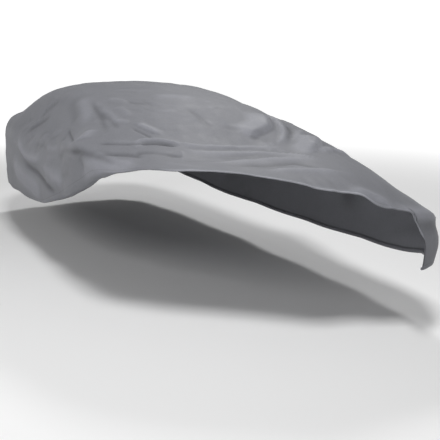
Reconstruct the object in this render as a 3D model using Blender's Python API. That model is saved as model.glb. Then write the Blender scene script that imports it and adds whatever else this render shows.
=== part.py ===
"""Fitted car cover of plain grey cloth, drawn back from its front right corner.

The cover is one sheet. It hangs hollow, with its roof at the top, and its hem turned under all
round. The sheet is a grid of cells that wraps a form given by a short table of loops, one inside
the next from the roof's ridge down to the skirt. A second table cuts it off at the hem, a third
pushes it out where it stretches over hard corners, and a fourth lays the folds.

Units are metres. In the tables x runs forward and y to the cover's left from the point where the
roof rests, and z is the height above the ground. The model's own origin is that rest point.
"""
import math
from typing import NamedTuple

import bpy
import numpy as np

NODE_NAME = "cover_cloth"

REST_HEIGHT = 1.417  # underside of the roof at the rest point, above the ground
SHEET_THICKNESS = 0.003
CELLS_LONG = 60  # cells from tail to nose
CELLS_ACROSS = 34  # cells from the right hem over the roof to the left hem

EIGHTH = 45.0  # degrees from one corner or side centre of the plan to the next
LOOP_SAMPLES = 181  # points that measure a quarter of a loop
RUN_ON = 1.2  # the cloth may run on below the last loop to this many of the last span
HEM_PULL = 2.0  # how late a column of cells bends towards its place in the hem
HEM_SMOOTHING = 3  # times that the turned hem's directions are evened out along it

WAVE_HEIGHT = 0.010  # soft upright waves in the skirt, at the hem
WAVE_LENGTH = 0.62
WAVE_UNEVEN = 0.25  # how uneven the spacing of the waves is
WAVE_DRIFT = 2.3  # length over which the waves grow closer and wider apart
WAVE_START = 0.55  # share of the reach where the waves begin
WAVE_GROWTH = 1.5  # power with which they grow from there to the hem
WAVE_FRONT = 25.0  # degrees of bearing in which they die out towards the middle of the front
HEM_GIRTH = 12.0  # length of the hem

FOLD_SAMPLES = 40  # points along a fold's line
FOLD_END = 0.28  # share of a fold's length in which it dies out at each end

ROLL_ANGLES = (60.0, 120.0, 180.0)  # steps in which the hem turns under, in degrees

CLOTH_COLOUR = (0.235, 0.238, 0.255, 1.0)
CLOTH_ROUGHNESS = 0.72


class Loop(NamedTuple):
    """One loop of the form, seen from above, and its height at five places round it."""

    front: float  # x of its front
    rear: float  # x of its rear
    half_width: float
    front_square: float  # 2 is an ellipse, more is squarer
    rear_square: float
    z_front: float
    z_front_corner: float
    z_side: float
    z_rear_corner: float
    z_rear: float


LOOPS = {
    "ridge": Loop(0.30, -0.30, 0.000, 2.0, 2.0, 1.412, 1.415, 1.420, 1.427, 1.427),
    "roof": Loop(0.60, -0.75, 0.400, 2.8, 2.8, 1.380, 1.368, 1.402, 1.405, 1.400),
    "roof_edge": Loop(1.00, -1.25, 0.610, 3.8, 3.4, 1.290, 1.282, 1.365, 1.305, 1.305),
    "slope_foot": Loop(1.58, -1.61, 0.800, 4.5, 4.0, 1.060, 1.083, 1.115, 1.125, 1.170),
    "shoulder": Loop(2.53, -1.895, 0.902, 3.8, 4.9, 0.845, 0.850, 0.960, 0.990, 1.075),
    "widest": Loop(2.73, -1.965, 0.937, 5.1, 4.7, 0.660, 0.650, 0.700, 0.750, 0.820),
    "skirt": Loop(2.76, -1.965, 0.942, 5.0, 4.6, 0.300, 0.300, 0.300, 0.300, 0.300),
}


class HemPoint(NamedTuple):
    """Where one column of cells ends. Bearings are in degrees to the left of straight ahead, and
    45 is the front left corner, 90 the middle of the left side and 180 the tail."""

    bearing: float  # the column's bearing on the roof
    end_bearing: float  # its bearing at the hem
    reach: float  # length of cloth from the roof's ridge to the hem
    roll: float  # radius with which the hem turns under
    turned: float  # width of the strip turned under


HEM = (
    HemPoint(0.0, 0.5, 2.19, 0.012, 0.040),
    HemPoint(12.0, 12.0, 2.30, 0.012, 0.035),
    HemPoint(17.0, 15.9, 2.41, 0.012, 0.020),
    HemPoint(23.0, 24.0, 2.52, 0.010, 0.008),
    HemPoint(27.0, 24.6, 2.585, 0.009, 0.004),
    HemPoint(31.0, 24.2, 2.70, 0.008, 0.006),
    HemPoint(35.0, 23.3, 2.845, 0.006, 0.014),
    HemPoint(40.0, 31.0, 2.86, 0.006, 0.014),
    HemPoint(46.0, 44.0, 2.80, 0.006, 0.018),
    HemPoint(60.0, 60.0, 2.50, 0.006, 0.020),
    HemPoint(75.0, 75.0, 2.19, 0.006, 0.020),
    HemPoint(90.0, 90.0, 1.97, 0.006, 0.020),
    HemPoint(110.0, 110.0, 1.86, 0.006, 0.020),
    HemPoint(122.0, 122.0, 1.96, 0.006, 0.020),
    HemPoint(135.0, 135.0, 2.24, 0.006, 0.020),
    HemPoint(150.0, 150.0, 2.36, 0.006, 0.020),
    HemPoint(180.0, 180.0, 2.38, 0.006, 0.020),
    HemPoint(210.0, 210.0, 2.34, 0.006, 0.020),
    HemPoint(225.0, 225.0, 2.20, 0.006, 0.020),
    HemPoint(238.0, 238.0, 1.93, 0.006, 0.020),
    HemPoint(250.0, 250.0, 1.76, 0.006, 0.020),
    HemPoint(264.0, 264.0, 1.75, 0.010, 0.020),
    HemPoint(277.0, 277.0, 1.735, 0.030, 0.030),
    HemPoint(293.0, 293.0, 1.755, 0.038, 0.036),
    HemPoint(304.0, 304.0, 1.795, 0.020, 0.045),
    HemPoint(313.0, 313.0, 1.775, 0.014, 0.045),
    HemPoint(328.5, 328.5, 1.80, 0.012, 0.045),
    HemPoint(340.0, 340.0, 1.875, 0.012, 0.045),
    HemPoint(351.0, 351.0, 2.01, 0.012, 0.045),
)


class Push(NamedTuple):
    """A soft round push that stretches the cloth over something hard beneath it."""

    centre: tuple
    spread: tuple  # how far it reaches along x, y and z
    move: tuple


PUSHES = {
    "left_ear": Push((1.05, 0.96, 1.07), (0.32, 0.24, 0.15), (0.02, 0.10, 0.050)),
    "right_ear": Push((1.00, -0.93, 1.07), (0.28, 0.22, 0.15), (0.00, -0.09, 0.040)),
    "left_crown": Push((1.45, 0.88, 1.03), (0.30, 0.25, 0.15), (0.00, 0.02, 0.020)),
    "nose_corner": Push((2.52, 0.88, 0.66), (0.32, 0.32, 0.20), (0.032, 0.042, 0.011)),
}


class Fold(NamedTuple):
    """A fold's line through three points of the cloth, and how far it stands up or sinks."""

    start: tuple
    middle: tuple
    end: tuple
    half_width: float
    height: float  # above zero is a ridge, below is a trough


FOLDS = {
    "slope_foot_ridge": Fold((1.33, -0.54, 1.13), (1.55, -0.14, 1.07), (1.90, 0.34, 1.00), 0.045, 0.014),
    "second_ridge": Fold((1.52, -0.45, 1.07), (1.65, -0.10, 1.05), (1.78, 0.30, 1.02), 0.040, 0.012),
    "deep_trough": Fold((1.20, -0.78, 1.09), (1.38, -0.57, 1.10), (1.50, -0.40, 1.09), 0.045, -0.030),
    "lip_under_trough": Fold((1.27, -0.80, 1.06), (1.42, -0.66, 1.08), (1.58, -0.48, 1.07), 0.040, 0.014),
    "second_trough": Fold((1.32, -0.84, 1.03), (1.48, -0.73, 1.04), (1.64, -0.52, 1.04), 0.045, -0.020),
    "roof_to_ear_ridge": Fold((0.35, -0.62, 1.32), (0.58, -0.70, 1.23), (0.85, -0.80, 1.12), 0.075, 0.026),
    "roof_to_ear_trough": Fold((0.44, -0.60, 1.31), (0.81, -0.64, 1.23), (1.12, -0.66, 1.16), 0.070, -0.022),
    "ear_notch": Fold((0.41, -0.79, 1.14), (0.66, -0.87, 1.10), (0.92, -0.93, 1.05), 0.060, -0.014),
    "ear_underline": Fold((0.92, -0.96, 1.01), (1.23, -0.90, 1.02), (1.45, -0.82, 1.00), 0.060, -0.022),
    "corner_crease": Fold((-0.78, -0.92, 0.93), (-0.36, -0.93, 0.76), (0.40, -0.94, 0.66), 0.060, -0.030),
    "corner_ridge": Fold((-0.66, -0.92, 1.00), (-0.18, -0.93, 0.86), (0.44, -0.94, 0.77), 0.070, 0.022),
    "corner_tuck": Fold((-0.44, -0.93, 0.74), (-0.20, -0.93, 0.79), (0.06, -0.93, 0.82), 0.040, 0.014),
    "rear_diagonal": Fold((-0.55, -0.90, 0.96), (-0.27, -0.77, 1.17), (0.05, -0.65, 1.33), 0.090, -0.014),
    "lobe_swell": Fold((0.10, -0.94, 0.82), (0.22, -0.94, 0.72), (0.20, -0.94, 0.58), 0.130, 0.030),
    "far_facet": Fold((1.22, 0.28, 1.21), (1.33, 0.30, 1.16), (1.46, 0.32, 1.10), 0.060, 0.014),
    "far_arc": Fold((1.08, 0.56, 1.21), (1.40, 0.50, 1.12), (1.60, 0.28, 1.06), 0.055, 0.020),
    "far_hollow": Fold((1.18, 0.42, 1.19), (1.36, 0.41, 1.13), (1.46, 0.36, 1.10), 0.050, -0.018),
    "far_slope_ridge": Fold((1.34, 0.68, 1.09), (1.52, 0.61, 1.06), (1.93, 0.66, 0.98), 0.055, 0.014),
    "deck_ridge": Fold((1.76, -0.40, 1.02), (1.90, -0.02, 1.01), (2.06, 0.56, 0.97), 0.055, 0.012),
    "deck_hollow": Fold((1.80, -0.46, 1.01), (1.99, -0.10, 1.00), (2.16, 0.45, 0.96), 0.050, -0.010),
    "edge_ridge": Fold((1.82, -0.54, 1.01), (2.14, -0.22, 0.97), (2.50, 0.40, 0.85), 0.045, 0.014),
    "left_ear_tension": Fold((0.30, 0.62, 1.33), (0.62, 0.74, 1.22), (0.95, 0.86, 1.13), 0.080, 0.022),
    "left_fall": Fold((1.02, 0.98, 0.98), (0.80, 0.95, 0.78), (0.62, 0.94, 0.46), 0.080, 0.020),
    "left_hollow": Fold((1.30, 0.93, 0.92), (1.20, 0.94, 0.72), (1.02, 0.94, 0.45), 0.090, -0.018),
    "left_tail_crease": Fold((-1.40, 0.86, 0.98), (-0.95, 0.92, 0.78), (-0.30, 0.94, 0.62), 0.070, -0.024),
    "left_tail_ridge": Fold((-1.20, 0.87, 1.02), (-0.70, 0.92, 0.86), (0.10, 0.94, 0.74), 0.070, 0.018),
    "tail_left_fall": Fold((-1.80, 0.62, 1.04), (-1.94, 0.58, 0.80), (-1.95, 0.50, 0.42), 0.070, 0.022),
    "tail_middle_fall": Fold((-1.86, 0.05, 1.06), (-1.95, 0.02, 0.78), (-1.96, -0.08, 0.45), 0.080, -0.018),
    "tail_right_fall": Fold((-1.80, -0.60, 1.04), (-1.94, -0.54, 0.78), (-1.95, -0.44, 0.42), 0.070, 0.022),
    "rear_slope_line": Fold((-1.52, 0.50, 1.18), (-1.66, 0.00, 1.17), (-1.52, -0.50, 1.18), 0.070, -0.012),
}


def corner_fractions(square, half_length, half_width):
    """Measure a quarter of a loop from its front (0) past its corner (1) to its side (2)."""
    angle = np.linspace(0.0, math.pi / 2, LOOP_SAMPLES)
    across = np.cos(angle) ** (2 / square)
    sideways = np.sin(angle) ** (2 / square)
    steps = np.hypot(np.diff(across * half_length), np.diff(sideways * half_width))
    arc = np.concatenate([[0.0], np.cumsum(steps)])
    corner = arc[LOOP_SAMPLES // 2]
    fraction = np.where(arc <= corner, arc / corner, 1 + (arc - corner) / (arc[-1] - corner))
    return fraction, across, sideways


def loop_height(loop, turn):
    """Height of a loop at the given turns from its front, a smooth curve through five heights."""
    knots = np.array(loop[5:])
    slopes = np.zeros(5)
    slopes[1:-1] = (knots[2:] - knots[:-2]) / 2
    k = np.clip((turn // EIGHTH).astype(int), 0, 3)
    t = turn / EIGHTH - k
    rise = (2 * t**3 - 3 * t**2 + 1) * knots[k] + (3 * t**2 - 2 * t**3) * knots[k + 1]
    return rise + (t**3 - 2 * t**2 + t) * slopes[k] + (t**3 - t**2) * slopes[k + 1]


def loop_point(loop, bearing):
    """Point of a loop at each bearing."""
    turned = np.mod(bearing + 180, 360) - 180
    turn = np.abs(turned)
    middle = (loop.front + loop.rear) / 2
    half_length = (loop.front - loop.rear) / 2
    if loop.half_width == 0:
        x = middle + half_length * np.clip((90 - turn) / EIGHTH, -1, 1)
        return np.stack([x, np.zeros_like(x), loop_height(loop, turn)], -1)
    ahead = turn <= 90
    fraction = np.where(ahead, turn, 180 - turn) / EIGHTH
    front = corner_fractions(loop.front_square, half_length, loop.half_width)
    rear = corner_fractions(loop.rear_square, half_length, loop.half_width)
    x = np.where(ahead, np.interp(fraction, front[0], front[1]), -np.interp(fraction, rear[0], rear[1]))
    y = np.where(ahead, np.interp(fraction, front[0], front[2]), np.interp(fraction, rear[0], rear[2]))
    side = np.where(turned >= 0, loop.half_width, -loop.half_width)
    return np.stack([middle + half_length * x, side * y, loop_height(loop, turn)], -1)


def pick(rows, index):
    """Take one row for each point from an array of rows."""
    return np.take_along_axis(rows, index[..., None, None], -2)[..., 0, :]


def cloth_point(bearing, distance):
    """Point of the cloth at each bearing and distance from the ridge, a smooth curve over the loops."""
    knots = np.stack([loop_point(loop, bearing) for loop in LOOPS.values()], -2)
    span = np.linalg.norm(np.diff(knots, axis=-2), axis=-1)
    start = np.concatenate([np.zeros(span.shape[:-1] + (1,)), np.cumsum(span, -1)], -1)
    slope = np.diff(knots, axis=-2) / span[..., None]
    before, after = span[..., :-1, None], span[..., 1:, None]
    tangent = np.empty_like(knots)
    tangent[..., 1:-1, :] = (slope[..., :-1, :] * after + slope[..., 1:, :] * before) / (before + after)
    tangent[..., 0, :] = slope[..., 0, :] * (1, 1, 0)
    tangent[..., -1, :] = slope[..., -1, :]
    k = (start[..., 1:-1] <= distance[..., None]).sum(-1)
    length = np.take_along_axis(span, k[..., None], -1)
    t = np.minimum((distance[..., None] - np.take_along_axis(start, k[..., None], -1)) / length, RUN_ON)
    point = (2 * t**3 - 3 * t**2 + 1) * pick(knots, k) + (3 * t**2 - 2 * t**3) * pick(knots, k + 1)
    bend = (t**3 - 2 * t**2 + t) * pick(tangent, k) + (t**3 - t**2) * pick(tangent, k + 1)
    return point + bend * length


def hem_values(bearing):
    """End bearing, reach, roll and turned width for each column, smooth between the hem's points."""
    table = np.array(HEM)
    lap = np.array([360.0, 360.0, 0.0, 0.0, 0.0])
    rows = np.concatenate([table[-2:] - lap, table, table[:2] + lap])
    gap = np.diff(rows[:, 0])[:, None]
    slope = np.diff(rows[:, 1:], axis=0) / gap
    same_way = slope[:-1] * slope[1:] > 0
    safe = np.where(same_way, slope[:-1] * slope[1:], 1.0)
    weight_a, weight_b = 2 * gap[1:] + gap[:-1], gap[1:] + 2 * gap[:-1]
    mean = (weight_a + weight_b) * safe / (weight_a * slope[1:] + weight_b * slope[:-1] + (~same_way))
    tangent = np.zeros_like(rows[:, 1:])
    tangent[1:-1] = np.where(same_way, mean, 0.0)
    turn = np.mod(bearing, 360.0)
    k = np.searchsorted(rows[:, 0], turn, side="right") - 1
    t = ((turn - rows[k, 0]) / gap[k, 0])[..., None]
    value = (2 * t**3 - 3 * t**2 + 1) * rows[k, 1:] + (3 * t**2 - 2 * t**3) * rows[k + 1, 1:]
    return value + gap[k] * ((t**3 - 2 * t**2 + t) * tangent[k] + (t**3 - t**2) * tangent[k + 1])


def cell_bearings():
    """Bearing and share of the reach for each corner of the grid of cells.

    The grid's rows nest as rectangles round its middle row, so that the cells stay even.
    """
    along = (np.arange(CELLS_LONG + 1) - CELLS_LONG / 2)[:, None] + np.zeros(CELLS_ACROSS + 1)
    across = (np.arange(CELLS_ACROSS + 1) - CELLS_ACROSS / 2) + np.zeros((CELLS_LONG + 1, 1))
    straight = (CELLS_LONG - CELLS_ACROSS) / 2
    ring = np.maximum(np.abs(along) - straight, np.abs(across))
    at_side = np.abs(across) >= np.abs(along) - straight
    side = 90.0 - EIGHTH * along / (straight + ring)
    turn = EIGHTH * np.abs(across) / np.maximum(ring, 1)
    end = np.where(along > 0, turn, 180.0 - turn)
    bearing = np.where(at_side, side, end) * np.where(across >= 0, 1.0, -1.0)
    return bearing, ring / (CELLS_ACROSS / 2)


def stretch(points):
    """Push the cloth out over its hard corners."""
    moved = points.copy()
    for push in PUSHES.values():
        near = np.exp(-(((points - push.centre) / push.spread) ** 2).sum(-1))
        moved += near[..., None] * push.move
    return moved


def triangle_areas(points, a, b, c):
    """Vectors along the triangles' normals, as long as twice their areas."""
    return np.cross(points[b] - points[a], points[c] - points[a])


def split_cells(points, a, b, c, d):
    """Split four-cornered cells along the diagonal that keeps their smaller triangle larger."""
    one_way = np.stack([triangle_areas(points, a, b, c), triangle_areas(points, a, c, d)])
    other_way = np.stack([triangle_areas(points, a, b, d), triangle_areas(points, b, c, d)])
    smallest = [np.linalg.norm(way, axis=-1).min(0) for way in (one_way, other_way)]
    keep = (smallest[0] >= smallest[1])[:, None]
    first = np.where(keep, np.stack([a, b, c], -1), np.stack([a, b, d], -1))
    second = np.where(keep, np.stack([a, c, d], -1), np.stack([b, c, d], -1))
    return np.concatenate([first, second])


def grid_triangles(points):
    """Triangles of a grid of points."""
    index = np.arange(points.shape[0] * points.shape[1]).reshape(points.shape[:2])
    corners = index[:-1, :-1], index[1:, :-1], index[1:, 1:], index[:-1, 1:]
    return split_cells(points.reshape(-1, 3), *(corner.ravel() for corner in corners))


def point_normals(points, triangles):
    """Unit normals of the points of a mesh, each the mean of the triangles round it."""
    face = triangle_areas(points, *triangles.T)
    normals = np.zeros_like(points)
    for corner in triangles.T:
        np.add.at(normals, corner, face)
    return normals / np.linalg.norm(normals, axis=-1, keepdims=True)


def grid_normals(points):
    """Unit normals of a grid of points, facing out."""
    flat = points.reshape(-1, 3)
    return point_normals(flat, grid_triangles(points)).reshape(points.shape)


def fold_height(points):
    """Sum of the folds' heights: each is a bell across its line that dies out at its ends."""
    height = np.zeros(points.shape[:-1])
    run = np.linspace(0.0, 1.0, FOLD_SAMPLES)
    for fold in FOLDS.values():
        start, middle, end = (np.array(p) for p in fold[:3])
        control = 2 * middle - (start + end) / 2
        r = run[:, None]
        line = (1 - r) ** 2 * start + 2 * r * (1 - r) * control + r**2 * end
        offsets = points[..., None, :] - line
        squared = (offsets**2).sum(-1)
        nearest = run[squared.argmin(-1)]
        ends = np.clip(np.minimum(nearest, 1 - nearest) / FOLD_END, 0, 1)
        fade = ends * ends * (3 - 2 * ends)
        height += fold.height * fade * np.exp(-squared.min(-1) / fold.half_width**2)
    return height


def wave_height(bearing, share):
    """Soft upright waves of uneven spacing that grow towards the hem."""
    run = np.mod(bearing, 360.0) / 360.0 * HEM_GIRTH
    phase = 2 * math.pi * (run / WAVE_LENGTH + WAVE_UNEVEN * np.sin(2 * math.pi * run / WAVE_DRIFT))
    grow = np.clip((share - WAVE_START) / (1 - WAVE_START), 0, 1) ** WAVE_GROWTH
    front = np.minimum(1.0, np.abs(np.mod(bearing + 180, 360) - 180) / WAVE_FRONT)
    return WAVE_HEIGHT * grow * front * np.sin(phase)


def draped_grid():
    """The cloth's outer face as a grid of points, with its folds, before the hem is turned."""
    bearing, share = cell_bearings()
    hem = hem_values(bearing)
    lap = np.mod(bearing, 360.0)
    lean = (hem[..., 0] - lap) * share**HEM_PULL
    points = stretch(cloth_point(lap + lean, share * hem[..., 1]))
    height = fold_height(points) + wave_height(bearing, share)
    return points + grid_normals(points) * height[..., None], hem


def border(rows):
    """The outermost corners of a grid, in order round it."""
    front, left = rows[:, -1], rows[-1]
    return np.concatenate([rows[:-1, 0], left[:-1], front[:0:-1], rows[0, :0:-1]])


def turned_hem(points, hem):
    """Loops of points that carry the cloth's edge round its roll and back underneath."""
    edge = border(points)
    inner = border(np.pad(points[1:-1, 1:-1], ((1, 1), (1, 1), (0, 0)), mode="edge"))
    along = np.roll(edge, -1, 0) - np.roll(edge, 1, 0)
    along /= np.linalg.norm(along, axis=-1, keepdims=True)
    normal = border(grid_normals(points))
    out = np.cross(along, normal)
    out *= np.sign((out * (edge - inner)).sum(-1, keepdims=True))
    out /= np.linalg.norm(out, axis=-1, keepdims=True)
    for _ in range(HEM_SMOOTHING):
        out = (np.roll(out, 1, 0) + 2 * out + np.roll(out, -1, 0)) / 4
        normal = (np.roll(normal, 1, 0) + 2 * normal + np.roll(normal, -1, 0)) / 4
    values = border(hem)
    roll, turned = values[:, 2, None], values[:, 3, None]
    loops = []
    for degrees in ROLL_ANGLES:
        angle = math.radians(degrees)
        loops.append(edge + roll * (math.sin(angle) * out - (1 - math.cos(angle)) * normal))
    loops.append(loops[-1] - turned * out)
    return loops


def outer_face():
    """Points and triangles of the cloth's outer face, with its turned hem, and the last loop."""
    grid, hem = draped_grid()
    index = np.arange(grid.shape[0] * grid.shape[1]).reshape(grid.shape[:2])
    points, triangles = [grid.reshape(-1, 3)], [grid_triangles(grid)]
    loop = border(index[..., None])[:, 0]
    count = index.size
    for ring in turned_hem(grid, hem):
        following = np.arange(len(ring)) + count
        count += len(ring)
        points.append(ring)
        cells = np.roll(loop, -1), loop, following, np.roll(following, -1)
        triangles.append(split_cells(np.concatenate(points), *cells))
        loop = following
    return np.concatenate(points), np.concatenate(triangles), loop


def closed_sheet():
    """Give the outer face its thickness inwards, and close it along the end of the turned hem."""
    points, triangles, loop = outer_face()
    inner = points - SHEET_THICKNESS * point_normals(points, triangles)
    count = len(points)
    following = np.roll(loop, -1)
    rim = split_cells(np.concatenate([points, inner]), following, loop, loop + count, following + count)
    faces = np.concatenate([triangles, triangles[:, ::-1] + count, rim])
    return np.concatenate([points, inner]) - (0, 0, REST_HEIGHT), faces


def cloth_material():
    """Plain grey nonwoven cloth with a dull finish."""
    material = bpy.data.materials.new("grey_nonwoven")
    material.use_nodes = True
    shader = material.node_tree.nodes["Principled BSDF"]
    shader.inputs["Base Color"].default_value = CLOTH_COLOUR
    shader.inputs["Roughness"].default_value = CLOTH_ROUGHNESS
    shader.inputs["Metallic"].default_value = 0.0
    return material


def build_cover():
    """Make the cover's one object."""
    points, faces = closed_sheet()
    mesh = bpy.data.meshes.new(NODE_NAME)
    mesh.from_pydata(points.tolist(), [], faces.tolist())
    mesh.materials.append(cloth_material())
    mesh.shade_smooth()
    mesh.update()
    cover = bpy.data.objects.new(NODE_NAME, mesh)
    bpy.context.scene.collection.objects.link(cover)
    return cover


def main():
    """Clear the scene and build the cover."""
    for old in list(bpy.data.objects):
        bpy.data.objects.remove(old, do_unlink=True)
    build_cover()


if __name__ == "__main__":
    main()
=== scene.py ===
"""Fitted car cover of plain grey nonwoven cloth, drawn back from its front right corner.

The cover is one sheet of cloth that hangs hollow. Its form is a table of loops, one inside the next
from the roof's ridge to the skirt, with a table for the hem, one for the hard corners it stretches
over, and one for the creases that lie on it. A place on the cloth is given by its bearing, in degrees
to the left of straight ahead, and by the length of cloth from the roof's ridge.
"""
import logging
import math
from collections.abc import Callable
from dataclasses import dataclass
from enum import Enum

import bpy
import numpy as np
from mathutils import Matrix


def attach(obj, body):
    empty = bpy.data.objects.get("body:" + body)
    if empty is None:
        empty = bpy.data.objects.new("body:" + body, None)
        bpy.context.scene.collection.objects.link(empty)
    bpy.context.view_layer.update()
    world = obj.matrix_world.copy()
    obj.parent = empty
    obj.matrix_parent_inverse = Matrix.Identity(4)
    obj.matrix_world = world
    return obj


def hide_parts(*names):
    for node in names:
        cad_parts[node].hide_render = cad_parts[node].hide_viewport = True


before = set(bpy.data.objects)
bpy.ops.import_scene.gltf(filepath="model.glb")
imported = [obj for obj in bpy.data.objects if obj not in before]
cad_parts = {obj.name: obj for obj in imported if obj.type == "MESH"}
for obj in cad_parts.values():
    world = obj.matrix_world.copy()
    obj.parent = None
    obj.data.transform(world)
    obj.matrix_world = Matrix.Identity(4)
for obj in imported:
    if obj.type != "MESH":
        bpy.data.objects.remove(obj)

Array = np.ndarray
Vector = tuple[float, float, float]
Tree = bpy.types.NodeTree
Socket = bpy.types.NodeSocket

LOG = logging.getLogger("car_cover")

REST_HEIGHT = 1.417  # underside of the roof at the rest point, above the ground
EIGHTH = 45.0  # degrees of bearing from a corner to the middle of a side


def linear(hex_colour: str) -> tuple[float, float, float, float]:
    """Turn an sRGB hex colour into the linear colour that a shader takes.

    Args:
        hex_colour: the colour as "#rrggbb".

    Returns:
        Linear red, green and blue, and an alpha of one.
    """
    channels = [int(hex_colour[i : i + 2], 16) / 255 for i in (1, 3, 5)]
    curved = [c / 12.92 if c <= 0.04045 else ((c + 0.055) / 1.055) ** 2.4 for c in channels]
    return (*curved, 1.0)


WHITE = linear("#FFFFFF")


def smooth_steps(t: Array) -> Array:
    """Ease from 0 to 1: three times t squared less two times t cubed, with t held within 0 and 1."""
    held = np.clip(t, 0.0, 1.0)
    return held * held * (3.0 - 2.0 * held)


def either_side(bearing: Array) -> Array:
    """Turn bearings into degrees either side of straight ahead, from -180 to 180."""
    return np.mod(bearing + 180.0, 360.0) - 180.0


def cubic(t: Array, start: Array, end: Array, leave: Array, arrive: Array) -> Array:
    """Run a cubic from start to end as t goes from 0 to 1, with the slopes leave and arrive there."""
    ends = (2 * t**3 - 3 * t**2 + 1) * start + (3 * t**2 - 2 * t**3) * end
    return ends + (t**3 - 2 * t**2 + t) * leave + (t**3 - t**2) * arrive


def through(knots: Array, count: int) -> Array:
    """Run a smooth curve through a few knots.

    Each span is a cubic whose slope at a knot is half the step between the knots on either side.

    Args:
        knots: the knots, one row each.
        count: how many points the curve gets.

    Returns:
        The curve's points, one row each.
    """
    slopes = np.gradient(knots, axis=0)
    place = np.linspace(0.0, len(knots) - 1.0, count)
    k = np.minimum(place.astype(int), len(knots) - 2)
    return cubic((place - k)[:, None], knots[k], knots[k + 1], slopes[k], slopes[k + 1])


@dataclass(frozen=True)
class Loop:
    """One loop of the form, seen from above, and its height above the ground at five places."""

    front: float
    rear: float
    half_width: float
    front_square: float
    rear_square: float
    heights: tuple[float, float, float, float, float]  # front, front corner, side, rear corner, rear


RIDGE = Loop(0.30, -0.30, 0.000, 2.0, 2.0, (1.412, 1.415, 1.420, 1.427, 1.427))
ROOF = Loop(0.60, -0.75, 0.400, 2.8, 2.8, (1.380, 1.368, 1.402, 1.405, 1.400))
ROOF_EDGE = Loop(1.00, -1.25, 0.610, 3.8, 3.4, (1.290, 1.282, 1.365, 1.305, 1.305))
SLOPE_FOOT = Loop(1.58, -1.61, 0.800, 4.5, 4.0, (1.060, 1.083, 1.115, 1.125, 1.170))
SHOULDER = Loop(2.53, -1.895, 0.902, 3.8, 4.9, (0.845, 0.850, 0.960, 0.990, 1.075))
WIDEST = Loop(2.73, -1.965, 0.937, 5.1, 4.7, (0.660, 0.650, 0.700, 0.750, 0.820))
SKIRT = Loop(2.76, -1.965, 0.942, 5.0, 4.6, (0.300, 0.300, 0.300, 0.300, 0.300))


@dataclass(frozen=True)
class Push:
    """A soft round push that stretches the cloth over something hard beneath it."""

    centre: Vector
    spread: Vector
    move: Vector


PUSHES = (
    Push((1.05, 0.96, 1.07), (0.32, 0.24, 0.15), (0.02, 0.10, 0.050)),  # left ear
    Push((1.00, -0.93, 1.07), (0.28, 0.22, 0.15), (0.00, -0.09, 0.040)),  # right ear
    Push((1.45, 0.88, 1.03), (0.30, 0.25, 0.15), (0.00, 0.02, 0.020)),  # left crown of the deck
    Push((2.52, 0.88, 0.66), (0.32, 0.32, 0.20), (0.032, 0.042, 0.011)),  # front left corner
)


class HemFinish(Enum):
    """How the cloth's edge is turned under: radius of the roll and width of the turned strip."""

    SNUG = (0.006, 0.020)
    CORNER = (0.004, 0.008)
    FRONT_EDGE = (0.0045, 0.045)
    LOBE_START = (0.036, 0.030)
    LOBE = (0.044, 0.036)


SNUG, CORNER, FRONT_EDGE, LOBE_START, LOBE = HemFinish


@dataclass(frozen=True)
class HemPoint:
    """Where one column of cells ends: its bearing on the roof, its reach, and its finish."""

    bearing: float
    reach: float
    finish: HemFinish = SNUG
    swing: float = 0.0  # degrees of bearing by which the column has moved at the hem


HEM = (
    HemPoint(0.0, 2.172, FRONT_EDGE, 0.5),
    HemPoint(12.0, 2.28, FRONT_EDGE),
    HemPoint(17.0, 2.385, CORNER, -1.1),
    HemPoint(23.0, 2.505, CORNER, 1.0),
    HemPoint(27.0, 2.585, CORNER, -2.4),
    HemPoint(31.0, 2.70, CORNER, -6.8),
    HemPoint(35.0, 2.845, CORNER, -11.7),
    HemPoint(40.0, 2.86, SNUG, -9.0),
    HemPoint(46.0, 2.80, SNUG, -2.0),
    HemPoint(60.0, 2.50),
    HemPoint(75.0, 2.19),
    HemPoint(90.0, 1.97),
    HemPoint(110.0, 1.86),
    HemPoint(122.0, 1.96),
    HemPoint(135.0, 2.24),
    HemPoint(150.0, 2.36),
    HemPoint(180.0, 2.38),
    HemPoint(210.0, 2.34),
    HemPoint(225.0, 2.20),
    HemPoint(238.0, 1.93),
    HemPoint(250.0, 1.76),
    HemPoint(264.0, 1.75),
    HemPoint(277.0, 1.70, LOBE_START),
    HemPoint(293.0, 1.72, LOBE),
    HemPoint(304.0, 1.782, FRONT_EDGE),
    HemPoint(313.0, 1.738, FRONT_EDGE),
    HemPoint(328.5, 1.78, FRONT_EDGE),
    HemPoint(340.0, 1.865, FRONT_EDGE),
    HemPoint(351.0, 2.003, FRONT_EDGE),
)


class Section(Enum):
    """How a crease stands across its line."""

    SOFT = "a round roll of cloth"
    PINCHED = "a narrow crest with long flanks"
    LAPPED = "a roll that drops off steeply to the right of its line"
    FOLDED = "a sharp crest between two flat flanks, the right one steep"

    def shape(self, across: Array) -> Array:
        """Height of the section, 1 at its crest.

        Soft is the bell e to the minus x squared. Pinched is e to the minus the rounded size of x.
        Lapped is a bell that is narrow on its right and wide on its left. Folded has straight flanks.

        Args:
            across: distance from the crest in half widths, above zero to the left of the line.

        Returns:
            The share of the crease's height at each distance.
        """
        if self is Section.PINCHED:
            tip, fade = 0.3, 3.5
            return np.exp(tip - np.sqrt(across**2 + tip**2)) * np.exp(-((across / fade) ** 2))
        if self is Section.LAPPED:
            left, right = 1.25, 0.45
            return np.exp(-((across / np.where(across > 0, left, right)) ** 2))
        if self is Section.FOLDED:
            left, right, tip = 1.7, 0.6, 0.12
            down = np.hypot(across / np.where(across > 0, left, right), tip) - tip
            return np.clip(1.0 - down, 0.0, None)
        return np.exp(-(across**2))


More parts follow.
